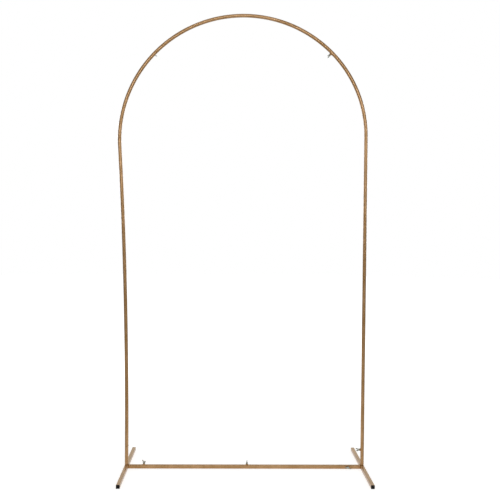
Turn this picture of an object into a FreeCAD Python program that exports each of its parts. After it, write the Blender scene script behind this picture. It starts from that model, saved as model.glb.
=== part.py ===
"""Balloon arch stand: a slim round-tube arch on a flat base of square tube.

Everything is in millimetres.  X runs along the crossbar (right is positive), Y runs back
from the viewer and Z is up.  The origin is on the underside of the crossbar, half way
between the two posts.  The left post bows outwards from its stub upwards, so the arch
above it is a chain of three tangent arcs instead of one half circle.
"""

import FreeCAD
import Part
import Sketcher
import math
import os
from FreeCAD import Matrix, Placement, Rotation, Vector

OUTPUT_FOLDER = "parts"

# Lengths below this count as equal when edges are looked up by their place.
TINY = 0.01

# Driving dimensions: alias, value.
DRIVING = [
    # Arch
    ("post_half_spacing", 532),
    ("tube_diameter", 16),
    ("tube_wall", 1),
    ("mid_joint_height", 600),
    ("left_mid_lean_angle", 1.13),
    ("left_lean_angle", 3.3),
    ("right_spring_height", 1497),
    ("right_shoulder_radius", 526),
    ("right_shoulder_angle", 47),
    ("left_shoulder_radius", 554),
    ("left_shoulder_angle", 44.5),
    # Joints between tubes
    ("swage_size", 13.7),
    ("swage_wall", 1),
    ("neck_size", 14.8),
    ("neck_length", 6),
    ("insert_length", 40),
    ("shoulder_chamfer", 0.8),
    ("rim_chamfer", 0.3),
    ("screw_setback", 14),
    # Base
    ("bar_size", 16),
    ("bar_wall", 1),
    ("corner_radius", 2),
    ("foot_length", 580),
    ("post_stub_top", 100),
    ("bar_stub_rim", 440),
    ("bar_seam", -4),
    ("left_bar_screw", 454),
    ("right_bar_screw", 466),
    # Foot plugs
    ("plug_flange", 2.5),
    ("plug_depth", 14),
    ("plug_clearance", 0.15),
    ("plug_edge", 0.8),
    ("plug_rib_height", 0.6),
    ("plug_rib_width", 1.2),
    ("plug_rib_length", 10.7),
    ("plug_rib_pitch", 3.8),
    ("plug_rib_count", 3),
    # Screw collars
    ("collar_diameter", 11),
    ("collar_height", 4.5),
    ("collar_bore", 6.2),
    ("collar_edge", 0.6),
    # Wing screws
    ("screw_diameter", 6),
    ("screw_point", 4.4),
    ("hub_diameter", 10),
    ("hub_crown_diameter", 8),
    ("hub_crown_round", 1.5),
    ("hub_height", 6.5),
    ("hub_gap", 1.5),
    ("wing_half_span", 14),
    ("wing_rise", 14),
    ("wing_lobe_radius", 4.2),
    ("wing_thickness", 2.8),
    ("wing_edge_round", 1.1),
    ("wing_root_round", 0.8),
    ("wing_root_rise", 0.8),
    ("wing_notch_depth", 1.6),
]

# Dimensions that follow from the driving ones: alias, formula.
FOLLOWING = [
    ("right_joint_x", "Sizes.post_half_spacing - Sizes.right_shoulder_radius"
                      " * (1 - cos(Sizes.right_shoulder_angle * 1 deg))"),
    ("right_joint_z", "Sizes.right_spring_height + Sizes.right_shoulder_radius"
                      " * sin(Sizes.right_shoulder_angle * 1 deg)"),
    ("right_centre_x", "Sizes.post_half_spacing - Sizes.right_shoulder_radius"),
    ("joint_sine_step", "sin(Sizes.right_shoulder_angle * 1 deg)"
                        " - sin(Sizes.left_shoulder_angle * 1 deg)"),
    ("joint_cosine_sum", "cos(Sizes.right_shoulder_angle * 1 deg)"
                         " + cos(Sizes.left_shoulder_angle * 1 deg)"),
    ("left_rise", "Sizes.left_shoulder_radius * (sin(Sizes.left_lean_angle * 1 deg)"
                  " + sin(Sizes.left_shoulder_angle * 1 deg))"),
    ("left_reach", "Sizes.left_shoulder_radius * (cos(Sizes.left_lean_angle * 1 deg)"
                   " - cos(Sizes.left_shoulder_angle * 1 deg))"),
    ("bow_slope", "tan(Sizes.left_lean_angle / 2 * 1 deg)"),
    ("mid_shift", "2 * Sizes.insert_length * sin(Sizes.left_mid_lean_angle * 1 deg)"),
    ("mid_rise", "2 * Sizes.insert_length * cos(Sizes.left_mid_lean_angle * 1 deg)"),
    ("low_bow_z", "Sizes.post_stub_top + Sizes.insert_length"),
    ("high_bow_z", "low_bow_z + mid_rise"),
    ("top_radius", "(right_joint_x + Sizes.post_half_spacing - left_reach + mid_shift"
                   " + (right_joint_z - left_rise - high_bow_z) * bow_slope)"
                   " / (joint_cosine_sum + joint_sine_step * bow_slope)"),
    ("left_joint_z", "right_joint_z - top_radius * joint_sine_step"),
    ("left_spring_z", "left_joint_z - left_rise"),
    ("bow_radius", "(left_spring_z - high_bow_z) / sin(Sizes.left_lean_angle * 1 deg)"),
    ("low_bow_x", "-Sizes.post_half_spacing - bow_radius"),
    ("high_bow_x", "low_bow_x - mid_shift"),
    ("left_mid_x", "low_bow_x + bow_radius * cos(Sizes.left_mid_lean_angle * 1 deg) - mid_shift / 2"),
    ("left_mid_z", "low_bow_z + bow_radius * sin(Sizes.left_mid_lean_angle * 1 deg) + mid_rise / 2"),
    ("left_spring_x", "high_bow_x + bow_radius * cos(Sizes.left_lean_angle * 1 deg)"),
    ("left_joint_x", "left_spring_x + left_reach"),
    ("left_centre_x", "left_spring_x + Sizes.left_shoulder_radius"
                      " * cos(Sizes.left_lean_angle * 1 deg)"),
    ("left_centre_z", "left_spring_z + Sizes.left_shoulder_radius"
                      " * sin(Sizes.left_lean_angle * 1 deg)"),
    ("top_centre_x", "right_joint_x - top_radius * cos(Sizes.right_shoulder_angle * 1 deg)"),
    ("top_centre_z", "right_joint_z - top_radius * sin(Sizes.right_shoulder_angle * 1 deg)"),
    ("tube_bore", "Sizes.tube_diameter - 2 * Sizes.tube_wall"),
    ("bar_bore", "Sizes.bar_size - 2 * Sizes.bar_wall"),
    ("swage_bore", "Sizes.swage_size - 2 * Sizes.swage_wall"),
    ("bar_middle", "Sizes.bar_size / 2"),
    ("foot_inner_side", "Sizes.post_half_spacing - Sizes.bar_size / 2"),
    ("foot_tube_length", "Sizes.foot_length - 2 * Sizes.plug_flange"),
    ("plug_stem_side", "bar_bore - 2 * (Sizes.plug_clearance + Sizes.plug_rib_height)"),
    ("plug_grip", "bar_bore - 2 * Sizes.plug_clearance"),
    ("cutter_start", "Sizes.tube_diameter / 4"),
    ("collar_top", "Sizes.tube_diameter / 2 + Sizes.collar_height"),
    ("hub_base", "collar_top + Sizes.hub_gap"),
    ("hub_top", "hub_base + Sizes.hub_height"),
    ("hub_taper", "atan((Sizes.hub_diameter - Sizes.hub_crown_diameter) / 2 / Sizes.hub_height)"),
    ("crown_x", "Sizes.hub_crown_diameter / 2"
                " - Sizes.hub_crown_round * (1 - sin(hub_taper)) / cos(hub_taper)"),
    ("crown_z", "hub_top - Sizes.hub_crown_round"),
]

doc = FreeCAD.newDocument("BalloonArchStand")


def make_sheet(name, rows, prefix=""):
    """Fill a spreadsheet with one aliased cell for each row."""
    sheet = doc.addObject("Spreadsheet::Sheet", name)
    for row, (alias, content) in enumerate(rows, start=1):
        sheet.set(f"A{row}", alias.replace("_", " "))
        sheet.set(f"B{row}", prefix + str(content))
        sheet.setAlias(f"B{row}", alias)
    doc.recompute()
    return sheet


sizes = make_sheet("Sizes", DRIVING)
derived = make_sheet("Derived", FOLLOWING, prefix="=")


def value(expression):
    """Return the number that an expression on the sheets gives."""
    result = derived.evalExpression(str(expression))
    return float(getattr(result, "Value", result))


def new_body(name):
    """Start one piece of the stand."""
    body = doc.addObject("PartDesign::Body", name)
    body.Label = name
    return body


def origin_plane(body, role):
    """Find one of a body's own three base planes."""
    for feature in body.Origin.OriginFeatures:
        if feature.Role == role:
            return feature
    raise ValueError(f"{body.Label} has no {role}")


def plane_sketch(body, name, role, offset="0"):
    """Start a sketch parallel to a base plane, moved along the plane's normal."""
    sketch = body.newObject("Sketcher::SketchObject", name)
    sketch.AttachmentSupport = [(origin_plane(body, role), "")]
    sketch.MapMode = "FlatFace"
    sketch.AttachmentOffset = Placement(Vector(0, 0, value(offset)), Rotation())
    sketch.setExpression("AttachmentOffset.Base.z", str(offset))
    return sketch


def dimension(sketch, kind, *arguments):
    """Add a dimensional constraint that is bound to an expression, the last argument."""
    *references, expression = arguments
    index = sketch.addConstraint(Sketcher.Constraint(kind, *references, value(expression)))
    sketch.setExpression(f"Constraints[{index}]", str(expression))


def pin(sketch, geometry, point, across, along):
    """Fix a point of the sketch at two expressions, measured from the sketch's origin."""
    dimension(sketch, "DistanceX", -1, 1, geometry, point, across)
    dimension(sketch, "DistanceY", -1, 1, geometry, point, along)


def spot(across, up):
    """Turn two expressions into a point of a sketch."""
    return Vector(value(across), value(up), 0)


def add_leg(sketch, start, end, arc=None):
    """Add a line, or an arc of under a half turn, and return it with its start and end.

    Points are pairs of expressions, and an arc is (centre across, centre up, radius).
    """
    if not arc:
        return sketch.addGeometry(Part.LineSegment(spot(*start), spot(*end))), 1, 2
    centre = spot(arc[0], arc[1])
    away_first, away_last = spot(*start) - centre, spot(*end) - centre
    first = math.atan2(away_first.y, away_first.x)
    last = math.atan2(away_last.y, away_last.x)
    ends = (1, 2)
    if (last - first) % (2 * math.pi) > math.pi:
        first, last = last, first
        ends = (2, 1)
    circle = Part.Circle(centre, Vector(0, 0, 1), value(arc[2]))
    leg = sketch.addGeometry(Part.ArcOfCircle(circle, first, first + (last - first) % (2 * math.pi)))
    dimension(sketch, "Radius", leg, arc[2])
    return leg, *ends


def centreline(body, name, points, arcs=None):
    """Draw a tube's centreline in the arch plane through points given as expressions.

    arcs maps the number of a leg to its (centre x, centre z, radius); other legs are
    straight.  A line with straight and round legs runs counter-clockwise about its arcs.
    """
    arcs = arcs or {}
    sketch = plane_sketch(body, name, "XZ_Plane")
    for number in range(len(points) - 1):
        leg, start, end = add_leg(sketch, points[number], points[number + 1], arcs.get(number))
        if number:
            sketch.addConstraint(Sketcher.Constraint("Coincident", leg - 1, previous_end, leg, start))
        else:
            pin(sketch, leg, start, *points[number])
        pin(sketch, leg, end, *points[number + 1])
        previous_end = end
    doc.recompute()
    return sketch


def swept_ring(body, name, path, outer, inner):
    """Sweep a round tube section along a centreline."""
    section = body.newObject("Sketcher::SketchObject", name + "_section")
    section.AttachmentSupport = [(path, "Edge1")]
    section.MapMode = "NormalToEdge"
    section.MapPathParameter = 0
    for diameter in (outer, inner):
        circle = Part.Circle(Vector(0, 0, 0), Vector(0, 0, 1), value(diameter) / 2)
        ring = section.addGeometry(circle)
        section.addConstraint(Sketcher.Constraint("Coincident", ring, 3, -1, 1))
        dimension(section, "Diameter", ring, diameter)
    doc.recompute()
    pipe = body.newObject("PartDesign::AdditivePipe", name)
    pipe.Profile = section
    pipe.Spine = (path, [f"Edge{edge}" for edge in range(1, len(path.Shape.Edges) + 1)])
    doc.recompute()
    return pipe


def male_end(body, name, seam, neck, neck_arc, tip, tip_arc):
    """Add the reduced end that slides into the next tube, and the neck that carries it."""
    neck_path = centreline(body, name + "_neck_line", [seam, neck], neck_arc)
    swept_ring(body, name + "_neck", neck_path, "Sizes.neck_size", "Derived.swage_bore")
    tip_path = centreline(body, name + "_insert_line", [seam, tip], tip_arc)
    return swept_ring(body, name + "_insert", tip_path, "Sizes.swage_size", "Derived.swage_bore")


def edges_where(feature, wanted):
    """Name the feature's edges that pass a test."""
    return [f"Edge{number}" for number, edge in enumerate(feature.Shape.Edges, start=1) if wanted(edge)]


def rim_edges(feature, x, z, diameter):
    """Name the round edge of one diameter about a point of the arch plane."""
    centre = Vector(value(x), 0, value(z))
    around = math.pi * value(diameter)
    tolerance = 0.5
    return edges_where(feature, lambda edge: abs(edge.Length - around) < tolerance
                       and edge.BoundBox.Center.distanceToPoint(centre) < tolerance)


def dress_edges(body, kind, name, edges, size_property, expression):
    """Chamfer or fillet named edges of the body's last feature."""
    base = body.Tip
    feature = body.newObject(kind, name)
    feature.Base = (base, edges)
    setattr(feature, size_property, value(expression))
    feature.setExpression(size_property, str(expression))
    doc.recompute()
    return feature


def chamfer_rim(body, name, x, z, expression):
    """Break the outer edge of a round tube's end."""
    edges = rim_edges(body.Tip, x, z, "Sizes.tube_diameter")
    dress_edges(body, "PartDesign::Chamfer", name, edges, "Size", expression)


def screw_frame(x, y, z, tube_direction, screw_direction):
    """Place a screw's own frame: X along the tube, Z out along the screw's axis."""
    across = screw_direction.cross(tube_direction)
    return Placement(Matrix(tube_direction.x, across.x, screw_direction.x, x,
                            tube_direction.y, across.y, screw_direction.y, y,
                            tube_direction.z, across.z, screw_direction.z, z,
                            0, 0, 0, 1))


def drill_wall(body, frame):
    """Cut the screw's hole through the one wall that it passes."""
    hole = body.newObject("PartDesign::SubtractiveCylinder", "Screw_hole")
    hole.setExpression("Radius", "Sizes.collar_bore / 2")
    hole.setExpression("Height", "Sizes.tube_diameter / 2")
    hole.Placement = frame.multiply(Placement(Vector(0, 0, value("Derived.cutter_start")), Rotation()))
    doc.recompute()


def point_on_circle(centre_x, centre_z, radius, angle):
    """Give expressions for a point on an arc, with the angle in degrees from +X."""
    return (f"{centre_x} + {radius} * cos(({angle}) * 1 deg)",
            f"{centre_z} + {radius} * sin(({angle}) * 1 deg)")


RIGHT_ARC = ("Derived.right_centre_x", "Sizes.right_spring_height", "Sizes.right_shoulder_radius")
TOP_ARC = ("Derived.top_centre_x", "Derived.top_centre_z", "Derived.top_radius")
LEFT_ARC = ("Derived.left_centre_x", "Derived.left_centre_z", "Sizes.left_shoulder_radius")
LOW_BOW_ARC = ("Derived.low_bow_x", "Derived.low_bow_z", "Derived.bow_radius")
HIGH_BOW_ARC = ("Derived.high_bow_x", "Derived.high_bow_z", "Derived.bow_radius")
RIGHT_SEAM = ("Derived.right_joint_x", "Derived.right_joint_z")
LEFT_SEAM = ("Derived.left_joint_x", "Derived.left_joint_z")
RIGHT_MID_SEAM = ("Sizes.post_half_spacing", "Sizes.mid_joint_height")
LEFT_MID_SEAM = ("Derived.left_mid_x", "Derived.left_mid_z")
RIGHT_SEAM_ANGLE = "Sizes.right_shoulder_angle"
LEFT_SEAM_ANGLE = "180 - Sizes.left_shoulder_angle"


def arc_step(length, arc):
    """Give the angle in degrees that a length takes up on an arc."""
    return f"{length} / {arc[2]} * 180 / pi"


def make_top_arc():
    """The crown of the arch, reduced at both ends to slide into the shoulders."""
    body = new_body("top_arc")
    path = centreline(body, "Crown_line", [RIGHT_SEAM, LEFT_SEAM], {0: TOP_ARC})
    swept_ring(body, "Crown", path, "Sizes.tube_diameter", "Derived.tube_bore")
    for x, z, side in (RIGHT_SEAM + ("Right",), LEFT_SEAM + ("Left",)):
        chamfer_rim(body, side + "_shoulder", x, z, "Sizes.shoulder_chamfer")
    ends = (("Right", RIGHT_SEAM, RIGHT_SEAM_ANGLE, RIGHT_ARC, 1),
            ("Left", LEFT_SEAM, LEFT_SEAM_ANGLE, LEFT_ARC, -1))
    for side, seam, angle, neighbour, sense in ends:
        neck_angle = f"{angle} + {sense} * {arc_step('Sizes.neck_length', TOP_ARC)}"
        tip_angle = f"{angle} - {sense} * {arc_step('Sizes.insert_length', neighbour)}"
        male_end(body, side, seam, point_on_circle(*TOP_ARC, neck_angle), {0: TOP_ARC},
                 point_on_circle(*neighbour, tip_angle), {0: neighbour})
    return body


def make_right_upper_post():
    """Straight upper tube and the right shoulder, in one bent length."""
    body = new_body("right_upper_post")
    spring = ("Sizes.post_half_spacing", "Sizes.right_spring_height")
    path = centreline(body, "Post_line", [RIGHT_MID_SEAM, spring, RIGHT_SEAM], {1: RIGHT_ARC})
    swept_ring(body, "Post", path, "Sizes.tube_diameter", "Derived.tube_bore")
    chamfer_rim(body, "Lower_shoulder", *RIGHT_MID_SEAM, "Sizes.shoulder_chamfer")
    chamfer_rim(body, "Upper_rim", *RIGHT_SEAM, "Sizes.rim_chamfer")
    straight_male_end(body, RIGHT_MID_SEAM, "0")
    drill_wall(body, SCREW_FRAMES["arch_right"])
    return body


def make_left_upper_post():
    """Bowed upper tube and the left shoulder, in one bent length."""
    body = new_body("left_upper_post")
    spring = ("Derived.left_spring_x", "Derived.left_spring_z")
    bend = up_the_tube(LEFT_MID_SEAM, "Sizes.insert_length", "Sizes.left_mid_lean_angle")
    post_path = centreline(body, "Post_line", [LEFT_MID_SEAM, bend, spring], {1: HIGH_BOW_ARC})
    swept_ring(body, "Post", post_path, "Sizes.tube_diameter", "Derived.tube_bore")
    shoulder_path = centreline(body, "Shoulder_line", [LEFT_SEAM, spring], {0: LEFT_ARC})
    swept_ring(body, "Shoulder", shoulder_path, "Sizes.tube_diameter", "Derived.tube_bore")
    chamfer_rim(body, "Lower_shoulder", *LEFT_MID_SEAM, "Sizes.shoulder_chamfer")
    chamfer_rim(body, "Upper_rim", *LEFT_SEAM, "Sizes.rim_chamfer")
    straight_male_end(body, LEFT_MID_SEAM, "Sizes.left_mid_lean_angle")
    drill_wall(body, SCREW_FRAMES["arch_left"])
    return body


def up_the_tube(point, distance, lean):
    """Give expressions for a point further up a straight tube that leans to the left."""
    return (f"{point[0]} - ({distance}) * sin({lean} * 1 deg)",
            f"{point[1]} + ({distance}) * cos({lean} * 1 deg)")


def straight_male_end(body, seam, lean):
    """Add the neck and the reduced end at the foot of a straight stretch of tube."""
    male_end(body, "Lower", seam, up_the_tube(seam, "Sizes.neck_length", lean), None,
             up_the_tube(seam, "-Sizes.insert_length", lean), None)


def make_lower_post(name, points, arcs=None):
    """Lower tube from its lower seam up, reduced at its foot to slide plumb into the stub."""
    body = new_body(name)
    path = centreline(body, "Post_line", points, arcs)
    swept_ring(body, "Post", path, "Sizes.tube_diameter", "Derived.tube_bore")
    chamfer_rim(body, "Lower_shoulder", *points[0], "Sizes.shoulder_chamfer")
    chamfer_rim(body, "Upper_rim", *points[-1], "Sizes.rim_chamfer")
    straight_male_end(body, points[0], "0")
    return body


def make_lower_posts():
    """The right lower post is plumb; the left one starts plumb, bows and ends straight."""
    left_foot = ("-Sizes.post_half_spacing", "Sizes.post_stub_top")
    bend_start = (left_foot[0], "Derived.low_bow_z")
    bend_end = up_the_tube(LEFT_MID_SEAM, "-Sizes.insert_length", "Sizes.left_mid_lean_angle")
    left = make_lower_post("left_lower_post", [left_foot, bend_start, bend_end, LEFT_MID_SEAM],
                           {1: LOW_BOW_ARC})
    right_foot = ("Sizes.post_half_spacing", "Sizes.post_stub_top")
    right = make_lower_post("right_lower_post", [right_foot, RIGHT_MID_SEAM])
    return [left, right]


def make_post_stub(name, side, frame):
    """Short upright socket welded on the foot."""
    body = new_body(name)
    x = f"{side} * Sizes.post_half_spacing"
    path = centreline(body, "Stub_line", [(x, "Sizes.bar_size"), (x, "Sizes.post_stub_top")])
    swept_ring(body, "Stub", path, "Sizes.tube_diameter", "Derived.tube_bore")
    chamfer_rim(body, "Upper_rim", x, "Sizes.post_stub_top", "Sizes.rim_chamfer")
    drill_wall(body, frame)
    return body


def draw_rectangle(sketch, centre_across, centre_up, width, height):
    """Draw a rectangle about a centre, all given as expressions."""
    corners = [(f"{centre_across} {a} ({width}) / 2", f"{centre_up} {b} ({height}) / 2")
               for a, b in (("-", "-"), ("+", "-"), ("+", "+"), ("-", "+"))]
    draw_outline(sketch, corners)


def draw_square(sketch, centre_across, centre_up, side):
    """Draw a square of one side length about a centre, both given as expressions."""
    draw_rectangle(sketch, centre_across, centre_up, side, side)


def draw_outline(sketch, corners, arcs=None):
    """Draw a closed outline through corners given as expressions; arcs maps a leg to its arc."""
    arcs = arcs or {}
    legs = []
    for number, corner in enumerate(corners):
        following = corners[(number + 1) % len(corners)]
        legs.append(add_leg(sketch, corner, following, arcs.get(number)))
        leg, start, _ = legs[-1]
        pin(sketch, leg, start, *corner)
    for (leg, _, end), (following, start, _) in zip(legs, legs[1:] + legs[:1]):
        sketch.addConstraint(Sketcher.Constraint("Coincident", leg, end, following, start))


def pad(body, name, sketch, length, reverse=False, both_ways=False):
    """Extrude a sketch of the body."""
    feature = body.newObject("PartDesign::Pad", name)
    feature.Profile = sketch
    feature.setExpression("Length", str(length))
    feature.Reversed = reverse
    if both_ways:
        feature.SideType = "Symmetric"
    doc.recompute()
    return feature


def long_edges(feature, axis, size, around):
    """Name the edges along an axis at the corners of a square of one size."""
    half = size / 2

    def at_corner(edge):
        if len(edge.Vertexes) != 2:
            return False
        start, end = (vertex.Point for vertex in edge.Vertexes)
        if abs((end - start).dot(axis)) < edge.Length - TINY:
            return False
        away = start - around
        away = away - axis * away.dot(axis)
        spread = sorted(abs(part) for part in away)
        return abs(spread[1] - half) < TINY and abs(spread[2] - half) < TINY

    return edges_where(feature, at_corner)


def square_run(body, name, start, end, outer, inner, outer_radius, inner_radius):
    """Add a square tube along X between two expressions, with rounded corners."""
    sketch = plane_sketch(body, name + "_section", "YZ_Plane", start)
    for side in (outer, inner):
        draw_square(sketch, "0", "Derived.bar_middle", side)
    feature = pad(body, name, sketch, f"({end}) - ({start})")
    middle = Vector((value(start) + value(end)) / 2, 0, value("Derived.bar_middle"))
    for word, side, radius in (("outside", outer, outer_radius), ("inside", inner, inner_radius)):
        edges = [edge for edge in long_edges(body.Tip, Vector(1, 0, 0), value(side), middle)
                 if spans(body.Tip.Shape.getElement(edge), value(start), value(end))]
        dress_edges(body, "PartDesign::Fillet", f"{name}_{word}", edges, "Radius", radius)
    return feature


def spans(edge, low, high):
    """Say whether an edge lies inside a stretch of X."""
    return edge.BoundBox.XMin > low - TINY and edge.BoundBox.XMax < high + TINY


def bar_insert(body, name, seam, outward):
    """Add the reduced square end that slides into the next length of bar."""
    if outward > 0:
        stretch = (f"{seam} - Sizes.neck_length", f"{seam} + Sizes.insert_length")
        neck = (f"{seam} - Sizes.neck_length", f"{seam} - Sizes.shoulder_chamfer")
    else:
        stretch = (f"{seam} - Sizes.insert_length", f"{seam} + Sizes.neck_length")
        neck = (f"{seam} + Sizes.shoulder_chamfer", f"{seam} + Sizes.neck_length")
    for part, limits, outer in (("insert", stretch, "Sizes.swage_size"), ("neck", neck, "Sizes.neck_size")):
        sketch = plane_sketch(body, f"{name}_{part}_section", "YZ_Plane", limits[0])
        for side in (outer, "Derived.swage_bore"):
            draw_square(sketch, "0", "Derived.bar_middle", side)
        pad(body, f"{name}_{part}", sketch, f"({limits[1]}) - ({limits[0]})")


def chamfer_bar_rim(body, name, seam):
    """Break the outer edge of a square tube's end where it meets the next length."""
    x = value(seam)
    middle = value("Derived.bar_middle")
    between = middle - value("Sizes.bar_wall") / 2

    def on_outer_rim(edge):
        box = edge.BoundBox
        reach = max(-box.YMin, box.YMax, middle - box.ZMin, box.ZMax - middle)
        return box.XLength < TINY and abs(box.XMin - x) < TINY and reach > between

    dress_edges(body, "PartDesign::Chamfer", name, edges_where(body.Tip, on_outer_rim), "Size",
                "Sizes.rim_chamfer")


def make_bar(name, start, end, male_ends=(), frame=None):
    """One length of the square crossbar, with its reduced ends and screw hole."""
    body = new_body(name)
    square_run(body, "Bar", start, end, "Sizes.bar_size", "Derived.bar_bore",
               "Sizes.corner_radius", "Sizes.corner_radius - Sizes.bar_wall")
    for word, seam in (("Left_rim", start), ("Right_rim", end)):
        if "foot" not in seam:
            chamfer_bar_rim(body, word, seam)
    for word, seam, outward in male_ends:
        bar_insert(body, word, seam, outward)
    if frame:
        drill_wall(body, frame)
    return body


def make_foot(name, side):
    """Square foot tube, from front to rear on the ground."""
    body = new_body(name)
    x = f"{side} * Sizes.post_half_spacing"
    sketch = plane_sketch(body, "Foot_section", "XZ_Plane")
    for width in ("Sizes.bar_size", "Derived.bar_bore"):
        draw_square(sketch, x, "Derived.bar_middle", width)
    pad(body, "Foot", sketch, "Derived.foot_tube_length", both_ways=True)
    around = Vector(value(x), 0, value("Derived.bar_middle"))
    for word, width, radius in (("Outside", "Sizes.bar_size", "Sizes.corner_radius"),
                                ("Inside", "Derived.bar_bore", "Sizes.corner_radius - Sizes.bar_wall")):
        edges = long_edges(body.Tip, Vector(0, 1, 0), value(width), around)
        dress_edges(body, "PartDesign::Fillet", word, edges, "Radius", radius)
    return body


def make_plug(name, side, end):
    """Black plastic plug: a cover plate, and a square stem whose ribs grip the tube's bore."""
    body = new_body(name)
    x = f"{side} * Sizes.post_half_spacing"
    # The XZ plane's normal points to the front, along -Y.
    mouth = f"{-end} * Derived.foot_tube_length / 2"
    cover = plane_sketch(body, "Cover_outline", "XZ_Plane", mouth)
    draw_square(cover, x, "Derived.bar_middle", "Sizes.bar_size")
    pad(body, "Cover", cover, "Sizes.plug_flange", reverse=end > 0)
    axis = Vector(0, 1, 0)
    around = Vector(value(x), 0, value("Derived.bar_middle"))
    corners = long_edges(body.Tip, axis, value("Sizes.bar_size"), around)
    dress_edges(body, "PartDesign::Fillet", "Corners", corners, "Radius", "Sizes.corner_radius")
    outer_y = end * value("Sizes.foot_length") / 2
    rim = edges_where(body.Tip, lambda edge: edge.BoundBox.YLength < TINY
                      and abs(edge.BoundBox.YMin - outer_y) < TINY)
    dress_edges(body, "PartDesign::Fillet", "Soft_rim", rim, "Radius", "Sizes.plug_edge")
    stem = plane_sketch(body, "Stem_outline", "XZ_Plane", mouth)
    draw_square(stem, x, "Derived.bar_middle", "Derived.plug_stem_side")
    pad(body, "Stem", stem, "Sizes.plug_depth", reverse=end < 0)
    stem_edges = long_edges(body.Tip, axis, value("Derived.plug_stem_side"), around)
    dress_edges(body, "PartDesign::Fillet", "Stem_corners", stem_edges, "Radius",
                "Sizes.corner_radius - Sizes.bar_wall")
    add_ribs(body, x, end)
    return body


def add_ribs(body, x, end):
    """Repeat a pair of crossed ribs along a plug's stem; they stop short of its corners."""
    first = f"{-end} * (Derived.foot_tube_length / 2 - Sizes.plug_rib_pitch + Sizes.plug_rib_width)"
    ribs = []
    for word, width, height in (("Wide", "Derived.plug_grip", "Sizes.plug_rib_length"),
                                ("Tall", "Sizes.plug_rib_length", "Derived.plug_grip")):
        outline = plane_sketch(body, word + "_rib_outline", "XZ_Plane", first)
        draw_rectangle(outline, x, "Derived.bar_middle", width, height)
        ribs.append(pad(body, word + "_rib", outline, "Sizes.plug_rib_width", reverse=end < 0))
    pattern = body.newObject("PartDesign::LinearPattern", "Ribs")
    pattern.Originals = ribs
    pattern.Direction = (outline, ["N_Axis"])
    pattern.Reversed = end < 0
    pattern.setExpression("Length", "(Sizes.plug_rib_count - 1) * Sizes.plug_rib_pitch")
    pattern.setExpression("Occurrences", "Sizes.plug_rib_count")
    body.Tip = pattern
    doc.recompute()


def make_collar(name, frame, arc=None, round_tube=True):
    """Threaded collar welded over a screw hole, with its foot cut to the tube it sits on."""
    body = new_body(name)
    foot = "Derived.cutter_start" if round_tube else "Sizes.tube_diameter / 2"
    blank = body.newObject("PartDesign::AdditiveCylinder", "Blank")
    blank.setExpression("Radius", "Sizes.collar_diameter / 2")
    blank.setExpression("Height", f"Derived.collar_top - {foot}")
    blank.Placement = Placement(Vector(0, 0, value(foot)), Rotation())
    doc.recompute()
    if arc:
        saddle = body.newObject("PartDesign::SubtractiveTorus", "Saddle")
        saddle.setExpression("Radius1", arc[2])
        saddle.setExpression("Radius2", "Sizes.tube_diameter / 2")
        centre = Placement(Vector(value(arc[0]), 0, value(arc[1])), Rotation(Vector(1, 0, 0), 90))
        saddle.Placement = frame.inverse().multiply(centre)
    elif round_tube:
        saddle = body.newObject("PartDesign::SubtractiveCylinder", "Saddle")
        saddle.setExpression("Radius", "Sizes.tube_diameter / 2")
        saddle.setExpression("Height", "2 * Sizes.collar_diameter")
        saddle.Placement = Placement(Vector(-value("Sizes.collar_diameter"), 0, 0),
                                     Rotation(Vector(0, 1, 0), 90))
    doc.recompute()
    bore = body.newObject("PartDesign::SubtractiveCylinder", "Bore")
    bore.setExpression("Radius", "Sizes.collar_bore / 2")
    bore.setExpression("Height", "Sizes.tube_diameter")
    doc.recompute()
    top = value("Derived.collar_top")
    rims = edges_where(bore, lambda edge: edge.BoundBox.ZLength < TINY
                       and abs(edge.BoundBox.ZMin - top) < TINY)
    dress_edges(body, "PartDesign::Chamfer", "Rims", rims, "Size", "Sizes.collar_edge")
    body.Placement = frame
    return body


def make_wing_screw(name, frame, turn):
    """Wing screw: two soft-edged wings cast on a tapered hub, and a pointed shank."""
    body = new_body(name)
    add_wings(body)
    add_hub(body)
    turned = body.Tip
    roots = edges_where(turned, lambda edge: joins_wing_and_hub(turned, edge))
    dress_edges(body, "PartDesign::Fillet", "Cast_roots", roots, "Radius", "Sizes.wing_root_round")
    body.Placement = frame.multiply(Placement(Vector(0, 0, 0), Rotation(Vector(0, 0, 1), turn)))
    return body


def add_wings(body):
    """Make one wing from the screw's axis outwards, round its edges and mirror it."""
    outline = plane_sketch(body, "Wing_outline", "XZ_Plane")
    lobe = "Sizes.wing_lobe_radius"
    lobe_centre = (f"Sizes.wing_half_span - {lobe}", f"Derived.hub_base + Sizes.wing_rise - {lobe}")
    roots = (("0", "Derived.hub_base + Sizes.wing_root_rise"),
             ("0", "Derived.hub_top - Sizes.wing_notch_depth"))
    draw_wing(outline, lobe_centre, lobe, roots)
    wing = pad(body, "Wing", outline, "Sizes.wing_thickness", both_ways=True)
    face = value("Sizes.wing_thickness") / 2
    rims = edges_where(wing, lambda edge: edge.BoundBox.YLength < TINY
                       and abs(abs(edge.BoundBox.YMin) - face) < TINY and edge.BoundBox.XMax > TINY)
    dress_edges(body, "PartDesign::Fillet", "Wing_edges", rims, "Radius", "Sizes.wing_edge_round")
    pair = body.newObject("PartDesign::Mirrored", "Both_wings")
    pair.TransformMode = "Whole shape"
    pair.MirrorPlane = (origin_plane(body, "YZ_Plane"), [""])
    body.Tip = pair
    doc.recompute()


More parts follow.
